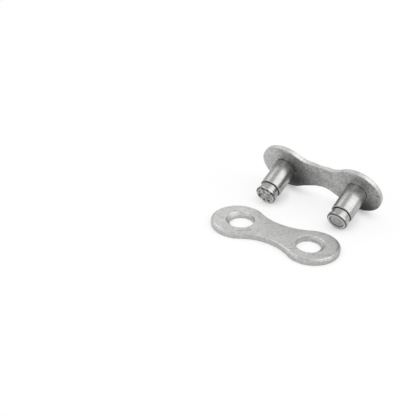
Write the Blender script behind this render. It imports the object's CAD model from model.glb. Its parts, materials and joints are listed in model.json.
# %% [markdown]
# # A snap-together connecting link in turned and stamped steel
#
# The link joins the two ends of a roller chain. One half is a plate with two pins riveted into it, the
# other a loose plate with two countersunk holes that snaps over the pins' heads. Here it lies open, as it
# comes apart.
#
# The CAD model is loaded first, as a frame that nothing moves. Each of its pieces is then modelled again
# with the rounded edges, dents and surfaces that catch the light on real steel, and takes the CAD piece's
# place.

# %% Load the frame
import bmesh
import bpy
import json
from math import acos, asin, atan2, cos, degrees, pi, radians, sin, tan
from mathutils import Matrix, Vector


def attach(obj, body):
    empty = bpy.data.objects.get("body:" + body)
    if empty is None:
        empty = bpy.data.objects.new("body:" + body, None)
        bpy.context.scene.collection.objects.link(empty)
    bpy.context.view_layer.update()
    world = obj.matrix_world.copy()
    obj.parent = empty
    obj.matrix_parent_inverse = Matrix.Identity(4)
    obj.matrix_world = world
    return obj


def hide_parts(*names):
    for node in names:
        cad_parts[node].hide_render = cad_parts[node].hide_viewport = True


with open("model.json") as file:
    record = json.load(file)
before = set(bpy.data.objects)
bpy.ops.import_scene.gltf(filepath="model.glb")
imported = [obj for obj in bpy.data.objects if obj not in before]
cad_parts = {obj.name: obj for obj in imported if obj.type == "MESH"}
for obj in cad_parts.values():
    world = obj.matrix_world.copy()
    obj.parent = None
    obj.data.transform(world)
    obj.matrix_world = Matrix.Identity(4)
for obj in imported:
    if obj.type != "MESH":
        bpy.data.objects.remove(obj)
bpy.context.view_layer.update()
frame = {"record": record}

# %% [markdown]
# ## Where the pieces stand
#
# Blender works in metres, and its tools expect things about a metre across: on something of 20 mm, merging
# and bevelling lose their grip. So each piece is modelled lying flat with one unit to the millimetre, and
# is shrunk and put in its place at the very end.
#
# A place is a matrix made of three directions and an origin. The model's record says where the pins and the
# holes are, so both places are worked out from those and not measured by eye.

# %% Places of the two plates
MM = 0.001
mounts = {mount["name"]: mount for mount in frame["record"]["mounts"]}


def place(origin, x_axis, z_axis):
    """Matrix that takes a piece modelled in millimetres to its place in the frame."""
    x, z = x_axis.normalized(), z_axis.normalized()
    y = z.cross(x)
    return Matrix.Translation(origin) @ Matrix((x, y, z)).transposed().to_4x4() @ Matrix.Scale(MM, 4)


def middle_and_span(left, right):
    """Point half way between two mounts, and the way from the left one to the right one."""
    a, b = (Vector(mounts[name]["pos_m"]) for name in (left, right))
    return (a + b) / 2, b - a


pin_middle, pin_span = middle_and_span("left_pin_body", "right_pin_body")
pin_way = Vector(mounts["left_pin_body"]["axis"])
half_body = mounts["left_pin_body"]["dims"]["length_mm"] * MM / 2
pin_link_place = place(pin_middle - pin_way * half_body, pin_span, -pin_way)

hole_middle, hole_span = middle_and_span("left_throat", "right_throat")
half_throat = mounts["left_throat"]["dims"]["length_mm"] * MM / 2
snap_plate_place = place(hole_middle - Vector((0, 0, half_throat)), hole_span, Vector((0, 0, 1)))
pitch = pin_span.length / MM
print("pitch, mm:", round(pitch, 3), "lean, degrees:", round(degrees(acos(-pin_way.y)), 2))

# %% [markdown]
# ## Small helpers
#
# Blender's operators act on whatever is selected, as they do under the mouse. These helpers do what a hand
# would: clear the selection, begin a mesh from one point, pick the edges or points that pass a test, cut
# with a tool.

# %% Helpers for modelling
def start_from_point(name, x, y, z):
    """New mesh of one point, in edit mode: a plane merged at its centre and moved."""
    bpy.ops.object.select_all(action="DESELECT")
    bpy.ops.mesh.primitive_plane_add(size=1)
    bpy.context.object.name = name
    bpy.ops.object.mode_set(mode="EDIT")
    bpy.ops.mesh.select_mode(type="VERT")
    bpy.ops.mesh.select_all(action="SELECT")
    bpy.ops.mesh.merge(type="CENTER")
    bpy.ops.transform.translate(value=(x, y, z))
    return bpy.context.object


def pick(kind, test):
    """Selects the points, edges or faces of which every corner passes the test."""
    bpy.ops.mesh.select_mode(type=kind)
    bpy.ops.mesh.select_all(action="DESELECT")
    edit = bmesh.from_edit_mesh(bpy.context.object.data)
    parts = {"VERT": edit.verts, "EDGE": edit.edges, "FACE": edit.faces}[kind]
    for part in parts:
        corners = [part] if kind == "VERT" else part.verts
        part.select_set(all(test(corner.co) for corner in corners))
    bmesh.update_edit_mesh(bpy.context.object.data)


def extrude_by(x, y, z):
    """Extrudes what is selected and moves it."""
    bpy.ops.mesh.extrude_region_move(TRANSFORM_OT_translate={"value": (x, y, z)})


def leave_edit(piece):
    """Back to object mode with only this piece selected."""
    bpy.ops.object.mode_set(mode="OBJECT")
    bpy.ops.object.select_all(action="DESELECT")
    piece.select_set(True)
    bpy.context.view_layer.objects.active = piece
    return piece


def close_solid(piece):
    """Turns every face outwards and leaves edit mode."""
    bpy.ops.mesh.select_all(action="SELECT")
    bpy.ops.mesh.normals_make_consistent(inside=False)
    return leave_edit(piece)


def apply_modifier(piece, kind, **settings):
    """Adds a modifier, sets it and applies it at once."""
    leave_edit(piece)
    modifier = piece.modifiers.new(kind.lower(), kind)
    for name, value in settings.items():
        setattr(modifier, name, value)
    bpy.ops.object.modifier_apply(modifier=modifier.name)


merge_distance = 0.01


def cut(piece, tool, operation="DIFFERENCE"):
    """Cuts the piece with a solid tool, throws the tool away and merges points that are left a hair apart."""
    apply_modifier(piece, "BOOLEAN", object=tool, operation=operation, solver="EXACT")
    bpy.data.objects.remove(tool)
    bpy.ops.object.mode_set(mode="EDIT")
    bpy.ops.mesh.select_all(action="SELECT")
    bpy.ops.mesh.remove_doubles(threshold=merge_distance)
    leave_edit(piece)


# %% [markdown]
# ## The outline that both plates share
#
# A link plate is two round lobes a pitch apart, joined by a waist that curves in between them. Its edge is
# four arcs that run smoothly into each other. Drawn by hand it would be a point spun about the middle of
# the first arc, then about the next, and so on round to the start, and that is what happens here. Spinning
# keeps every arc truly round, where a traced curve would wobble.

# %% Outline of a link plate
lobe_radius = 4.2
half_waist = 2.3
lobe_steps = 132
waist_steps = 30
same_place = 0.001


def link_outline(name, radius, waist, z):
    """Closed loop of edges, in edit mode and all selected."""
    half_pitch = pitch / 2
    waist_radius = (half_pitch**2 + waist**2 - radius**2) / (2 * (radius - waist))
    waist_turn = atan2(half_pitch, waist + waist_radius)
    lobe_turn = 2 * (pi / 2 + waist_turn)
    outline = start_from_point(name, 0, waist, z)
    arcs = [
        (waist_steps, -waist_turn, (0, waist + waist_radius, z)),
        (lobe_steps, lobe_turn, (half_pitch, 0, z)),
        (waist_steps * 2, -2 * waist_turn, (0, -waist - waist_radius, z)),
        (lobe_steps, lobe_turn, (-half_pitch, 0, z)),
        (waist_steps, -waist_turn, (0, waist + waist_radius, z)),
    ]
    for steps, turn, centre in arcs:
        bpy.ops.mesh.spin(steps=steps, angle=turn, center=centre, axis=(0, 0, 1))
    bpy.ops.mesh.select_all(action="SELECT")
    bpy.ops.mesh.remove_doubles(threshold=same_place)
    return outline


def plate_blank(name, bottom, top):
    """Flat blank with the outline of a plate, between two heights."""
    blank = link_outline(name, lobe_radius, half_waist, bottom)
    bpy.ops.mesh.edge_face_add()
    extrude_by(0, 0, top - bottom)
    return close_solid(blank)


# %% [markdown]
# ## The pin plate
#
# This plate is punched from strip, and its waist is pressed outwards in a smooth bulge that gives the
# sprocket's teeth more room. The punch drags the outer face's edge down into a soft roll, and the inner
# face keeps a small break. The waist is scooped on the bulge's crown, and each pin stands in a shallow seat
# on the inside and is riveted over into a wider relief on the outside.
#
# The bulge could be drawn by moving points up with proportional editing, which leaves its shape to the
# mouse. Here a strip is extruded and spun along the bulge's own arcs, and the plate is what the strip and a
# tall blank have in common. Rolls are made by bevelling the rim, as many segments as the light needs. The
# reliefs, seats and scoops are cut with solid tools and the Boolean modifier, in the way that a cutter
# takes them out of the real plate.

# %% Bulged blank of the pin plate
plate_thickness = 0.85
bulge_height = 0.36
bulge_reach = 3.3
bulge_steps = 10
outer_roll = 0.22
inner_break = 0.08
roll_segments = 6
beyond = 0.5


def bulged_strip():
    """Solid strip, longer and wider than a plate, with the bulge across its middle."""
    radius = (bulge_reach**2 + bulge_height**2) / (4 * bulge_height)
    turn = asin(bulge_reach / 2 / radius)
    half_width = lobe_radius + beyond
    strip = start_from_point("bulged_strip", -pitch, -half_width, 0)
    extrude_by(pitch - bulge_reach, 0, 0)
    arcs = [
        (bulge_steps, turn, (-bulge_reach, -half_width, radius)),
        (bulge_steps * 2, -2 * turn, (0, -half_width, bulge_height - radius)),
        (bulge_steps, turn, (bulge_reach, -half_width, radius)),
    ]
    for steps, angle, centre in arcs:
        bpy.ops.mesh.spin(steps=steps, angle=angle, center=centre, axis=(0, 1, 0))
    extrude_by(pitch - bulge_reach, 0, 0)
    bpy.ops.mesh.select_all(action="SELECT")
    extrude_by(0, 0, plate_thickness)
    bpy.ops.mesh.select_all(action="SELECT")
    extrude_by(0, 2 * half_width, 0)
    return close_solid(strip)


def soften_rim(piece, side, offset, segments):
    """Bevels the rim of a plate's upper face, for side 1, or of its lower face, for side -1."""
    leave_edit(piece)
    bpy.ops.object.mode_set(mode="EDIT")
    bpy.ops.mesh.select_mode(type="FACE")
    bpy.ops.mesh.select_all(action="DESELECT")
    edit = bmesh.from_edit_mesh(piece.data)
    for face in edit.faces:
        face.select_set(face.normal.z * side > 0.5)
    bmesh.update_edit_mesh(piece.data)
    bpy.ops.mesh.region_to_loop()
    bpy.ops.mesh.bevel(offset=offset, segments=segments, profile=0.5, affect="EDGES")
    leave_edit(piece)


pin_plate = plate_blank("stamped_pin_plate", -beyond, plate_thickness + bulge_height + beyond)
cut(pin_plate, bulged_strip(), "INTERSECT")
print("bulged blank:", len(pin_plate.data.polygons), "faces")
soften_rim(pin_plate, 1, outer_roll, roll_segments)
soften_rim(pin_plate, -1, inner_break, 1)
print("with its soft rims:", len(pin_plate.data.polygons), "faces")

# %% [markdown]
# A round tool with steps in it is one disc, extruded and resized from ring to ring, like a turned drill.

# %% Cutting tools for the pin plate
round_steps = 112
relief_radius = 2.25
relief_floor = 0.5
shank_radius = 1.6
seat_radius = 1.84
seat_floor = 0.1


def stepped_tool(x, rings):
    """Solid of round rings, each a radius, a height and a sideways shift of its centre."""
    radius, height, shift = rings[0]
    bpy.ops.object.select_all(action="DESELECT")
    bpy.ops.mesh.primitive_circle_add(
        vertices=round_steps, radius=radius, fill_type="NGON", location=(x + shift, 0, height)
    )
    tool = bpy.context.object
    bpy.ops.object.transform_apply(location=True, rotation=False, scale=False)
    bpy.ops.object.mode_set(mode="EDIT")
    bpy.ops.mesh.select_all(action="SELECT")
    for next_radius, next_height, next_shift in rings[1:]:
        extrude_by(next_shift - shift, 0, next_height - height)
        growth = next_radius / radius
        bpy.ops.transform.resize(value=(growth, growth, 1), center_override=(x + next_shift, 0, next_height))
        radius, height, shift = next_radius, next_height, next_shift
    return close_solid(tool)


for x in (-pitch / 2, pitch / 2):
    rings = [
        (seat_radius, -beyond, 0),
        (seat_radius, seat_floor, 0),
        (shank_radius, seat_floor, 0),
        (shank_radius, relief_floor, 0),
        (relief_radius, relief_floor, 0),
        (relief_radius, plate_thickness + beyond, 0),
    ]
    cut(pin_plate, stepped_tool(x, rings))
print("with its holes:", len(pin_plate.data.polygons), "faces")

# %% [markdown]
# A scoop is the side of a shallow cone that dips into the bulge's crown from each edge and leaves a land
# between.

# %% Scoops at the waist
scoop_radius = 4.0
scoop_land = 1.62
scoop_slope = tan(radians(20))
scoop_steps = 240
crown = plate_thickness + bulge_height

for side in (-1, 1):
    bpy.ops.object.select_all(action="DESELECT")
    bpy.ops.mesh.primitive_cone_add(
        vertices=scoop_steps,
        radius1=scoop_radius - half_waist,
        radius2=scoop_radius + beyond / scoop_slope,
        depth=half_waist * scoop_slope + beyond,
        location=(0, side * (scoop_land + scoop_radius), crown + (beyond - half_waist * scoop_slope) / 2),
    )
    scoop = bpy.context.object
    bpy.ops.object.transform_apply(location=True, rotation=False, scale=False)
    cut(pin_plate, scoop)
print("with its scoops:", len(pin_plate.data.polygons), "faces")

# %% [markdown]
# ## Finishing a piece
#
# No real edge is quite sharp, and the hair's breadth that is missing is what catches the light. A bevel on
# every edge above a certain angle gives it back. Then the piece is shrunk to metres and put in its place.

# %% Finishing a piece
edge_round = 0.03
edge_segments = 3
sharp_from = radians(22)
smooth_up_to = radians(35)


def finish_piece(piece, place_matrix, node):
    """Puts a piece in its place for good and lets it stand for the CAD piece."""
    leave_edit(piece)
    piece.matrix_world = place_matrix
    bpy.ops.object.transform_apply(location=True, rotation=True, scale=True)
    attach(piece, "root")
    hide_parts(node)
    print(piece.name, "has", len(piece.data.polygons), "faces")


def round_sharp_edges(piece):
    """Breaks every sharp edge by a hair, and shades the rest as smooth."""
    apply_modifier(
        piece,
        "BEVEL",
        width=edge_round,
        segments=edge_segments,
        limit_method="ANGLE",
        angle_limit=sharp_from,
        miter_outer="MITER_ARC",
    )
    bpy.ops.object.shade_smooth_by_angle(angle=smooth_up_to)
    apply_modifier(piece, "WEIGHTED_NORMAL", keep_sharp=True, weight=100)


round_sharp_edges(pin_plate)
finish_piece(pin_plate, pin_link_place, "pin_plate")

# %% [markdown]
# ## The pins
#
# A pin comes off a lathe. From the riveted end it has a collar, a shank inside the plate, the body that the
# chain's bush turns on, an undercut behind the body's shoulder, the neck that the snap plate grips, and a
# head with a dished face. A turned piece is a profile spun about its axis, so that is how it is made: a
# point is extruded from corner to corner, the corners are rounded by a point bevel, and the line is spun
# through a full turn.

# %% Profile of a pin
pin_profile = [
    (0, 0.90),
    (1.94, 0.90),
    (2.00, 0.84),
    (2.00, 0.50),
    (1.60, 0.50),
    (1.60, 0.10),
    (1.675, 0.10),
    (1.775, 0),
    (1.775, -4.73),
    (1.655, -4.85),
    (1.40, -4.85),
    (1.40, -4.97),
    (1.56, -4.97),
    (1.56, -5.85),
    (1.63, -5.85),
    (1.69, -5.91),
    (1.69, -6.30),
    (1.54, -6.45),
    (1.22, -6.45),
    (1.04, -6.27),
    (0.35, -6.27),
    (0, -6.22),
]
corner_round = 0.02
on_axis = 0.01
seam_merge = 0.0005
dish_radius = 1.27
dish_from = -6.2
dish_cuts = 5


def turn_pin(name):
    """Pin spun from its profile, on the Z axis."""
    radius, height = pin_profile[0]
    pin = start_from_point(name, radius, 0, height)
    for next_radius, next_height in pin_profile[1:]:
        extrude_by(next_radius - radius, 0, next_height - height)
        radius, height = next_radius, next_height
    pick("VERT", lambda point: point.x > on_axis)
    bpy.ops.mesh.bevel(offset=corner_round, segments=edge_segments, affect="VERTICES")
    pick("EDGE", lambda point: point.x < dish_radius and point.z < dish_from)
    bpy.ops.mesh.subdivide(number_cuts=dish_cuts)
    bpy.ops.mesh.select_all(action="SELECT")
    bpy.ops.mesh.spin(steps=round_steps, angle=2 * pi, center=(0, 0, 0), axis=(0, 0, 1))
    bpy.ops.mesh.select_all(action="SELECT")
    bpy.ops.mesh.remove_doubles(threshold=seam_merge)
    bpy.ops.mesh.normals_make_consistent(inside=False)
    leave_edit(pin)
    bpy.ops.object.shade_smooth_by_angle(angle=smooth_up_to)
    return pin


left_pin = turn_pin("turned_left_pin")
bpy.ops.object.duplicate(linked=False)
right_pin = bpy.context.object
right_pin.name = "turned_right_pin"
print("pin:", [round(v, 3) for v in left_pin.dimensions])
finish_piece(left_pin, pin_link_place @ Matrix.Translation((-pitch / 2, 0, 0)), "left_pin")
finish_piece(right_pin, pin_link_place @ Matrix.Translation((pitch / 2, 0, 0)), "right_pin")

# %% [markdown]
# ## The snap plate
#
# The loose plate has the same outline. A bevel runs round its outer face, wide along the lobes and thin
# along the waist, and its holes are countersunk off centre, so that each head slides in from the outer end
# and then locks.
#
# An inset would make a bevel of one width. The real one changes width because its face has one slope while
# its two edges are different outlines. So a block with sloping sides is made from two outlines bridged
# together, and the plate keeps only what lies inside it: a Boolean set to intersect.

# %% Bevelled blank of the snap plate
snap_thickness = 0.9
bevel_at_lobe = 0.4
bevel_at_waist = 0.06
bevel_slope = tan(radians(32))
above_face = 0.2


def sloping_block(bottom, top):
    """Solid between two outlines that lie one above the other and follow the bevel's slope."""
    loops = []
    for height in (bottom, top):
        outset = (snap_thickness - height) / bevel_slope
        radius, waist = lobe_radius - bevel_at_lobe + outset, half_waist - bevel_at_waist + outset
        loops.append(leave_edit(link_outline(f"bevel_{len(loops)}", radius, waist, height)))
    for loop in loops:
        loop.select_set(True)
    bpy.ops.object.join()
    block = bpy.context.object
    bpy.ops.object.mode_set(mode="EDIT")
    bpy.ops.mesh.select_all(action="SELECT")
    bpy.ops.mesh.bridge_edge_loops()
    for height in (bottom, top):
        pick("EDGE", lambda point: abs(point.z - height) < same_place)
        bpy.ops.mesh.edge_face_add()
    return close_solid(block)


snap_plate = plate_blank("stamped_snap_plate", 0, snap_thickness)
soften_rim(snap_plate, -1, inner_break, 1)
cut(snap_plate, sloping_block(-beyond, snap_thickness + above_face), "INTERSECT")
print("bevelled blank:", len(snap_plate.data.polygons), "faces")

# %% [markdown]
# A countersink that is set outwards from its hole is a stepped tool whose last ring is both wider and
# shifted.

# %% Off-centre countersinks
throat_radius = 1.88
sink_radius = 2.25
sink_depth = 0.4
sink_shift = 0.25
half_hole_span = hole_span.length / MM / 2

grow = 1 + beyond / sink_depth
top_radius = throat_radius + (sink_radius - throat_radius) * grow

for side in (-1, 1):
    rings = [
        (throat_radius, -beyond, 0),
        (throat_radius, snap_thickness - sink_depth, 0),
        (top_radius, snap_thickness + beyond, side * sink_shift * grow),
    ]
    cut(snap_plate, stepped_tool(side * half_hole_span, rings))
round_sharp_edges(snap_plate)
finish_piece(snap_plate, snap_plate_place, "snap_plate")

# %% [markdown]
# ## Finishes
#
# A finish in Blender is a small network of nodes. Written out one node at a time it hides the idea, so the
# sums are written as Python sums: a socket is wrapped in a class that knows plus, minus, times and so on,
# and every sum adds its Math node. Any other node comes from one method.

# %% Sums with sockets
class Shade:
    """A socket of a material or of the world, for use in sums. Every sum adds a node."""

    def __init__(self, tree, socket=None):
        self.tree, self.socket = tree, socket

    def node(self, kind, settings=None, inputs=None, output=0):
        """Adds a node, sets it up, fills its sockets and gives one of its outputs."""
        node = self.tree.nodes.new(kind)
        for name, value in (settings or {}).items():
            setattr(node, name, value)
        for name, value in (inputs or {}).items():
            if isinstance(value, Shade):
                self.tree.links.new(value.socket, node.inputs[name])
            else:
                node.inputs[name].default_value = value
        return Shade(self.tree, node.outputs[output] if node.outputs else None)

    def sum(self, operation, first, second):
        return self.node("ShaderNodeMath", {"operation": operation}, {0: first, 1: second})

    def __add__(self, other):
        return self.sum("ADD", self, other)

    def __sub__(self, other):
        return self.sum("SUBTRACT", self, other)

    def __rsub__(self, other):
        return self.sum("SUBTRACT", other, self)

    def __mul__(self, other):
        return self.sum("MULTIPLY", self, other)

    def __pow__(self, other):
        return self.sum("POWER", self, other)

    def __abs__(self):
        return self.sum("ABSOLUTE", self, 0)

    __radd__ = __add__
    __rmul__ = __mul__

    def highest(self, other):
        return self.sum("MAXIMUM", self, other)

    def step(self, start, end):
        """0 on the start's side and 1 on the end's side, with a soft change between the two."""
        inputs = {"Value": self, "From Min": start, "From Max": end}
        return self.node("ShaderNodeMapRange", {"interpolation_type": "SMOOTHSTEP"}, inputs)

    def stretched(self, x, y, z):
        """This vector with each of its directions scaled."""
        return self.node("ShaderNodeVectorMath", {"operation": "MULTIPLY"}, {0: self, 1: (x, y, z)})

    def noise(self, lumps, detail=2.0, rough=0.5):
        """Cloudy noise from 0 to 1, with so many lumps to the millimetre."""
        inputs = {"Vector": self, "Scale": lumps, "Detail": detail, "Roughness": rough}
        return self.node("ShaderNodeTexNoise", {}, inputs)

    def mix(self, first, second):
        """A colour between two others, as far along as this value says."""
        return self.node("ShaderNodeMix", {"data_type": "RGBA"}, {0: self, 6: first, 7: second}, 2)


def new_finish(name, place_matrix):
    """New material, the point on its piece in millimetres, and the point's three parts."""
    material = bpy.data.materials.new(name)
    material.use_nodes = True
    material.node_tree.nodes.clear()
    shade = Shade(material.node_tree)
    back, turn, size = place_matrix.inverted().decompose()
    inputs = {
        "Vector": shade.node("ShaderNodeTexCoord", output="Object"),
        "Location": back,
        "Rotation": turn.to_euler(),
        "Scale": size,
    }
    point = shade.node("ShaderNodeMapping", {}, inputs)
    parts = [shade.node("ShaderNodeSeparateXYZ", {}, {0: point}, axis) for axis in "XYZ"]
    return material, point, parts


def bare_steel(material, colour, roughness, height, depth):
    """Ends a finish as bare metal with a relief of this height, in parts of a depth in millimetres."""
    shade = Shade(material.node_tree)
    relief = shade.node("ShaderNodeBump", {}, {"Height": height, "Strength": 1.0, "Distance": depth * MM})
    inputs = {"Base Color": colour, "Metallic": 1.0, "Roughness": roughness, "Normal": relief}
    metal = shade.node("ShaderNodeBsdfPrincipled", {}, inputs)
    shade.node("ShaderNodeOutputMaterial", {}, {"Surface": metal})


print("what a socket can do:", sorted(name for name in vars(Shade) if name[0] != "_"))

# %% [markdown]
# ### Stamped steel
#
# Both plates were tumbled after stamping. That leaves a satin skin with a fine grain, soft clouds and
# scratches, wider on the loose plate, and short drag marks through the thickness on the punched edges. The
# media don't reach the pin plate's inner face so well: it stays rougher and speckled, and a dark film of
# old oil sits beside the pins' roots, where nothing wipes it off. A thin line runs where the snap plate's
# top breaks into its bevel and its holes.
#
# The same clouds feed the colour, the gloss and the relief, because on real metal one cause changes all
# three. Outer face, inner face and edge are told apart by the height above the inner face, so that no face
# is picked by hand. Where the pin plate bulges, that height is counted from the bulge.

# %% Stamped steel
def scratches(point, turn, lumps, width):
    """Lines along one direction: the places where a stretched noise comes this near to its middle."""
    inputs = {"Vector": point, "Axis": (0, 0, 1), "Angle": radians(turn)}
    turned = point.node("ShaderNodeVectorRotate", {"rotation_type": "AXIS_ANGLE"}, inputs)
    lines = abs(turned.stretched(0.12, 1, 0.3).noise(lumps, 0) - 0.5).step(width, width * 0.17)
    return lines * turned.noise(0.5, 1).step(0.5, 0.6)


def stain(x, y, middle_x, middle_y, reach, strength):
    """Dark film on the inner face beside a pin's root, which ends sooner on its left."""
    aside, above = x - middle_x, y - middle_y
    aside = aside.highest(aside * -1.6)
    return ((aside * aside + above * above) ** 0.5).step(reach, 0.3) * strength


def stamped_steel(
    name, place_matrix, thickness, bulge, face_tone, inner_tone, edge_tone, grain, gloss, scratch
):
    """Satin metal with a tone each for its outer face, its inner face and its edge."""
    material, point, (x, y, z) = new_finish(name, place_matrix)
    clouds = point.noise(0.45, 3, 0.55) - 0.5
    mottle = point.stretched(1, 1, 0.12).noise(grain, 4, 0.62) - 0.5
    specks = point.noise(2.6, 3, 0.6).step(0.60, 0.70)
    fine = point.noise(5, 2, 0.6) - 0.5
    marks = scratches(point, 24, 2.2, scratch).highest(scratches(point, -37, 1.7, scratch))
    marks = marks.highest(scratches(point, 81, 2.0, scratch))
    above = z - abs(x).step(bulge_reach, 0) * bulge
    inner = above.step(0.07, 0.02)
    edge = above.step(0.04, 0.12) * above.step(thickness - 0.01, thickness - 0.15)
    tone = face_tone + inner * (inner_tone - face_tone) + edge * (edge_tone - face_tone)
    tone = tone + (mottle * 0.9 + clouds * 0.5) * (0.26 + inner * 0.6) - specks * 0.16 * inner
    crease = above.step(thickness - 0.015, thickness - 0.035)
    crease = crease * above.step(thickness - 0.11, thickness - 0.07)
    foot = above.step(0.14, 0.05) * (1 - inner)
    tone = tone + fine * 0.42 - marks * 0.18 * (1 - edge) - x * 0.004 - crease * 0.14 - foot * 0.15
    if bulge:
        film = stain(x, y, 1.4 - pitch / 2, 2.0, reach=6.8, strength=0.82)
        film = film.highest(stain(x, y, 1.2 + pitch / 2, 3.2, reach=4.7, strength=0.8))
        tone = tone * (1 - film * inner)
    roughness = gloss + mottle * 0.25 + edge * 0.18 + inner * 0.14
    height = (mottle * 0.6 + clouds * 0.6) * (0.3 + inner * 0.7) - specks * 0.35 * inner - marks * 0.3
    bare_steel(material, tone.mix((0, 0, 0, 1), (1, 1, 0.985, 1)), roughness, height, 0.02)
    return material


plate_steel = stamped_steel(
    "stamped_steel",
    pin_link_place,
    plate_thickness,
    bulge_height,
    face_tone=0.58,
    inner_tone=0.47,
    edge_tone=0.58,
    grain=2.2,
    gloss=0.28,
    scratch=0.012,
)
pin_plate.data.materials.append(plate_steel)
snap_steel = stamped_steel(
    "tumbled_steel",
    snap_plate_place,
    snap_thickness,
    0,
    face_tone=0.69,
    inner_tone=0.60,
    edge_tone=0.50,
    grain=1.4,
    gloss=0.34,
    scratch=0.024,
)
snap_plate.data.materials.append(snap_steel)
for steel in (plate_steel, snap_steel):
    print(steel.name, "has", len(steel.node_tree.nodes), "nodes")

# %% [markdown]
# ### Turned steel
#
# A lathe tool leaves rings. One noise draws them all: it is read at the distance from the axis and the
# station along it, so it makes rings along the body and circles on the end faces without being told which
# is which. The head's end has a brighter rim between a dark outer corner and the dark wall of its dish. The
# left pin's end is pitted.

# %% Turned steel
turned_steel, point, (x, y, z) = new_finish("turned_steel", pin_link_place)
beside = abs(x) - pitch / 2
from_axis = (beside * beside + y * y) ** 0.5
station = point.node("ShaderNodeCombineXYZ", {}, {"X": from_axis, "Y": z})
rings = station.noise(4.5, 3, 0.6)
clouds = point.noise(0.8, 3, 0.6)
grain = point.noise(6, 2, 0.6)
end_face = z.step(-6.20, -6.24)
outline = end_face * from_axis.step(1.49, 1.53)
rim = end_face * from_axis.step(1.22, 1.27) * from_axis.step(1.50, 1.46)
dish_wall = end_face * from_axis.step(1.02, 1.07) * from_axis.step(1.24, 1.19)
dish_ring = end_face * abs(from_axis - 0.62).step(0.10, 0.02)
undercut = z.step(-4.83, -4.86) * z.step(-5.00, -4.97)
root = z.step(-0.16, -0.02)
riveted_end = z.step(0.70, 0.75)
pits = end_face * x.step(0, -1) * (point.noise(1.9, 2, 0.6) - 0.5) * 3
tone = 0.72 + (rings - 0.5) * 0.55 + (clouds - 0.5) * 0.3 + (grain - 0.5) * 0.25
tone = tone + rim * 0.22 + pits + riveted_end * 0.2
tone = tone - outline * 0.5 - dish_wall * 0.45 - dish_ring * 0.25 - undercut - root * 0.1
colour = tone.highest(0).mix((0.05, 0.05, 0.05, 1), (0.58, 0.58, 0.57, 1))
roughness = 0.28 + (grain - 0.5) * 0.15 + end_face * 0.12 + undercut * 0.2
height = rings + grain * 0.3 + end_face * (grain - 0.5) + pits * 0.5
bare_steel(turned_steel, colour, roughness, height, 0.012)
for pin in (left_pin, right_pin):
    pin.data.materials.append(turned_steel)
print(turned_steel.name, "has", len(turned_steel.node_tree.nodes), "nodes")

# %% [markdown]
# ## Camera
#
# The camera looks down on the link from the front right, from close by and through a long lens, and is
# rolled by a degree and a half.

# %% Camera
camera_turn = radians(33.495)
camera_height = radians(32.133)
camera_roll = radians(1.559)
camera_away = 174.54 * MM
camera_aim = Vector((-12.759, -4.693, 0)) * MM

flat = cos(camera_height)
ahead = Vector((-sin(camera_turn) * flat, cos(camera_turn) * flat, -sin(camera_height)))
level = Vector((cos(camera_turn), sin(camera_turn), 0))
upright = level.cross(ahead)
camera_x = level * cos(camera_roll) + upright * sin(camera_roll)
camera_y = upright * cos(camera_roll) - level * sin(camera_roll)

camera_data = bpy.data.cameras.new("camera")
camera_data.lens = 96.52
camera_data.clip_start = 10 * MM
camera_data.clip_end = 10
camera = bpy.data.objects.new("camera", camera_data)
camera_turned = Matrix((camera_x, camera_y, -ahead)).transposed().to_4x4()
camera.matrix_world = Matrix.Translation(camera_aim - ahead * camera_away) @ camera_turned
bpy.context.scene.collection.objects.link(camera)
bpy.context.scene.camera = camera
print("camera at, mm:", [round(c / MM, 1) for c in camera.matrix_world.translation])

# %% [markdown]
# ## Light
#
# Bare steel has hardly any colour of its own: it looks the way its surroundings do. So the lamps are placed
# by what mirrors them. A tall oval lamp on the right draws the long soft highlight down each pin, one on
# the left lights the snap plate's bevel, and one in front reaches the pins' roots by way of the plate
# behind them. A pale grey world fills in the rest, so that every surface has something to mirror.

# %% World and lamps
world = bpy.data.worlds.new("studio")
bpy.context.scene.world = world
world.use_nodes = True
world.node_tree.nodes.clear()
sky = Shade(world.node_tree)
upward = sky.node("ShaderNodeSeparateXYZ", {}, {0: sky.node("ShaderNodeTexCoord", output="Generated")}, "Z")
horizon, overhead = (0.55, 0.55, 0.55, 1), (0.80, 0.80, 0.80, 1)
glow = sky.node("ShaderNodeBackground", {}, {"Color": upward.step(0.02, 0.42).mix(horizon, overhead)})
sky.node("ShaderNodeOutputWorld", {}, {"Surface": glow})

lamp_distance = 0.5


def soft_lamp(name, turn, height, wide, tall, power):
    """Soft oval lamp that looks at the middle of the link. Turn 0 is in front, 90 on the right."""
    lamp_data = bpy.data.lights.new(name, "AREA")
    lamp_data.shape = "ELLIPSE"
    lamp_data.size = wide
    lamp_data.size_y = tall
    lamp_data.energy = power
    lamp = bpy.data.objects.new(name, lamp_data)
    turn, height = radians(turn), radians(height)
    way = Vector((sin(turn) * cos(height), -cos(turn) * cos(height), sin(height)))
    lamp.location = way * lamp_distance
    lamp.rotation_euler = (-way).to_track_quat("-Z", "Y").to_euler()
    lamp.visible_camera = False
    bpy.context.scene.collection.objects.link(lamp)


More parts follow.
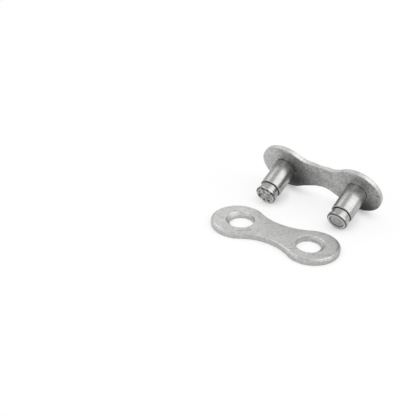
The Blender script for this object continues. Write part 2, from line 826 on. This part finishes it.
soft_lamp("left_lamp", turn=-88, height=46, wide=0.34, tall=0.34, power=0.26)
soft_lamp("front_lamp", turn=-14, height=40, wide=0.34, tall=0.34, power=0.32)
soft_lamp("right_lamp", turn=111, height=44, wide=0.42, tall=0.75, power=0.98)

# %% [markdown]
# ## Floor
#
# The floor gives off its own white to the camera and to what the steel mirrors, so that it is pure white
# without any more light on the link. Near the link it hands over to plain white paint, and the paint takes
# the shadow. How near is a question that Ambient Occlusion answers: it says how much of the way up from a
# point is open.

# %% Floor
floor_radius = 1.5
floor_steps = 96
own_light = 0.8
shadow_reach = 2.0 * MM
mirrored_reach = 9.0 * MM

bpy.ops.object.select_all(action="DESELECT")
bpy.ops.mesh.primitive_circle_add(
    vertices=floor_steps, radius=floor_radius, fill_type="NGON", location=(0, 0, 0)
)
floor = bpy.context.object
floor.name = "floor"

white_paint = bpy.data.materials.new("white_floor")
white_paint.use_nodes = True
white_paint.node_tree.nodes.clear()
paint = Shade(white_paint.node_tree)
seen = paint.node("ShaderNodeLightPath", output="Is Camera Ray")
mirrored = paint.node("ShaderNodeLightPath", output="Is Glossy Ray")
mirrored = mirrored.highest(paint.node("ShaderNodeLightPath", output="Is Transmission Ray"))
lit = paint.node("ShaderNodeBsdfDiffuse", {}, {"Color": (0.9, 0.9, 0.9, 1)})
bright = paint.node("ShaderNodeEmission", {}, {"Color": (1, 1, 1, 1), "Strength": 1.0})
close_by = paint.node("ShaderNodeAmbientOcclusion", {"samples": 8}, {"Distance": shadow_reach}, "AO")
all_round = paint.node("ShaderNodeAmbientOcclusion", {"samples": 8}, {"Distance": mirrored_reach}, "AO")
share = seen * close_by * own_light + mirrored * all_round * own_light
surface = paint.node("ShaderNodeMixShader", {}, {0: share, 1: lit, 2: bright})
paint.node("ShaderNodeOutputMaterial", {}, {"Surface": surface})
floor.data.materials.append(white_paint)

bpy.context.scene.view_settings.view_transform = "Standard"

# %% [markdown]
# ## Sizes
#
# The dressed link must not be larger than the CAD model, so both boxes are measured and written down.
